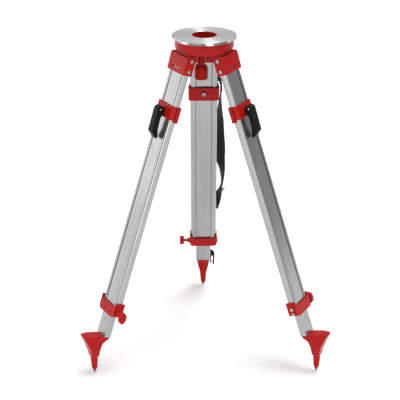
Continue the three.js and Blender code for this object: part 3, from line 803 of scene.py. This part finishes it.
def stitches(name, frames, start, end, fold):
    """A box of stitches with a cross in it, standing a little proud of both faces of the webbing.
    fold is how much thicker the webbing is there on its outer side."""
    half = STITCH["half_width"]
    a, b, c, d = (-half, start), (half, start), (half, end), (-half, end)
    lines = [(a, b), (b, c), (c, d), (d, a), (a, c), (b, d)]
    size = [STITCH["length"] / 2 * MM, STITCH["thick"] / 2 * MM, STITCH["thick"] / 2 * MM, 1]
    shape = bmesh.new()
    for (u0, v0), (u1, v1) in lines:
        count = max(2, round(math.hypot(u1 - u0, v1 - v0) / STITCH["pitch"]))
        for i in range(count):
            share = (i + 0.5) / count
            middle, width, facing, tangent = at_length(frames, v0 + share * (v1 - v0))
            run = ((u1 - u0) * width + (v1 - v0) * tangent).normalized()
            for side in (1, -1):
                out = WEBBING["thick"] / 2 + (fold if side > 0 else 0)
                at = middle + (u0 + share * (u1 - u0)) * width + side * out * facing
                place = Matrix.Translation(at * MM) @ run.to_track_quat("X", "Z").to_matrix().to_4x4()
                place = place @ Matrix.Diagonal(size)
                bmesh.ops.create_icosphere(shape, subdivisions=1, radius=1, matrix=place)
    mesh = bpy.data.meshes.new(name)
    shape.to_mesh(mesh)
    shape.free()
    smooth(mesh, 80)
    return mesh


def at_length(frames, length):
    """The webbing's middle, width, facing and direction at a length along it."""
    for (m0, w0, f0, l0), (m1, w1, f1, l1) in zip(frames, frames[1:]):
        if length <= l1:
            share = (length - l0) / (l1 - l0)
            return m0.lerp(m1, share), w0.lerp(w1, share), f0.lerp(f1, share), (m1 - m0).normalized()
    return frames[-1][0], frames[-1][1], frames[-1][2], (frames[-1][0] - frames[-2][0]).normalized()


def build_strap():
    place, body = LEG_FRAMES["rear"], BODIES["carry_strap"]
    for node in ("strap_keeper", "strap_patch", "tie_clip"):
        refined(node, place, 0.8, 3)
    frames = ribbon_frames(STRAP_ROUTE, 10)
    finish_piece("carry_strap_look", ribbon("carry_strap", frames), place, body, "webbing",
                 ["carry_strap"], keep_flat=False)
    tail = ribbon("strap_tail", ribbon_frames(TAIL_ROUTE, 6), TAIL_TAPER)
    finish_piece("strap_tail", tail, place, body, "webbing", keep_flat=False)
    layer = WEBBING["thick"] + 0.1
    folded = [(middle + layer * facing, width, facing, length)
              for middle, width, facing, length in frames if length < FOLD_END]
    finish_piece("strap_fold", ribbon("strap_fold", folded), place, body, "webbing", keep_flat=False)
    for name, (start, end) in STITCHED.items():
        fold = layer if end < FOLD_END else 0
        finish_piece(name, stitches(name, frames, start, end, fold), place, body, "webbing",
                     keep_flat=False, material=MATERIALS["black_plastic"])


# ---- Floor and lights ----
FLOOR_HALF = 30


def floor():
    """Pale, with painted shade far out on the right: grey there, so that the right leg's face mirrors it
    darker.
    """
    half = FLOOR_HALF
    mesh = bpy.data.meshes.new("floor")
    mesh.from_pydata([(-half, -half, 0), (half, -half, 0), (half, half, 0), (-half, half, 0)], [],
                     [(0, 1, 2, 3)])
    keep_place(mesh)
    s = Shader("floor")
    pale = s.ramp(s.noise(3, 4), (0.3, (0.90, 0.90, 0.90)), (0.7, (0.93, 0.93, 0.93)))
    # Painted shade: the floor turns grey from 2.5 m to 4 m out on the right, for the right leg's face to
    # mirror.
    right = s.node("ShaderNodeSeparateXYZ", {0: s.place}).outputs[0]
    aside = s.math("MULTIPLY", right, 0.2)
    far = s.ramp(aside, (0.50, (1.0, 1.0, 1.0)), (0.80, (0.36, 0.36, 0.36)))
    s.set("Base Color", s.mix(1.0, pale, far, "MULTIPLY"))
    s.set("Roughness", 0.8)
    s.set("Specular IOR Level", 0.0)
    mesh.materials.append(s.material)
    made = bpy.data.objects.new("floor", mesh)
    bpy.context.scene.collection.objects.link(made)


# Each light's place, the point that it faces, its width and height in metres, and its brightness.
SOFTBOXES = {
    "left_box": ((-4.2, 1.75, 1.5), (0, 0, 0.5), (2.6, 2.4), 1.3),
    "front_left": ((-2.0, -3.46, 0.9), (0, 0, 0.6), (2.9, 1.2), 2.5),
    "front_right": ((2.0, -3.46, 0.9), (0, 0, 0.6), (2.9, 1.2), 1.5),
}


def softbox(name, at, toward, size, brightness):
    """A rectangular light of an even brightness, whatever its size."""
    data = bpy.data.lights.new(name, "AREA")
    data.shape = "RECTANGLE"
    data.size, data.size_y = size
    data.energy = brightness * math.pi * size[0] * size[1]
    light = bpy.data.objects.new(name, data)
    bpy.context.scene.collection.objects.link(light)
    light.location = at
    light.rotation_euler = (Vector(toward) - Vector(at)).to_track_quat("-Z", "Y").to_euler()


HORIZON, ZENITH = 0.33, 0.95
SUN = {"from": (0.25, 0, 1), "angle": 32, "strength": 1.8}


def sky():
    """Grey at the horizon, brightening to white overhead."""
    world = bpy.data.worlds.new("studio")
    world.use_nodes = True
    tree = world.node_tree
    height = tree.nodes.new("ShaderNodeSeparateXYZ")
    tree.links.new(tree.nodes.new("ShaderNodeTexCoord").outputs["Generated"], height.inputs[0])
    spread = tree.nodes.new("ShaderNodeMapRange")
    tree.links.new(height.outputs[2], spread.inputs["Value"])
    spread.inputs["To Min"].default_value = HORIZON
    spread.inputs["To Max"].default_value = ZENITH
    tree.nodes["Background"].inputs[0].default_value = (1, 1, 1, 1)
    tree.links.new(spread.outputs[0], tree.nodes["Background"].inputs[1])
    bpy.context.scene.world = world


def lights():
    sky()
    data = bpy.data.lights.new("overhead", "SUN")
    data.energy = SUN["strength"]
    data.angle = math.radians(SUN["angle"])
    sun = bpy.data.objects.new("overhead", data)
    bpy.context.scene.collection.objects.link(sun)
    sun.rotation_euler = (-Vector(SUN["from"])).to_track_quat("-Z", "Y").to_euler()
    for name, settings in SOFTBOXES.items():
        softbox(name, *settings)


add_camera()
lights()
floor()
build_head()
for leg_name in LEG_AZIMUTHS:
    build_leg(leg_name)
build_strap()

bpy.context.scene.view_settings.view_transform = "Standard"
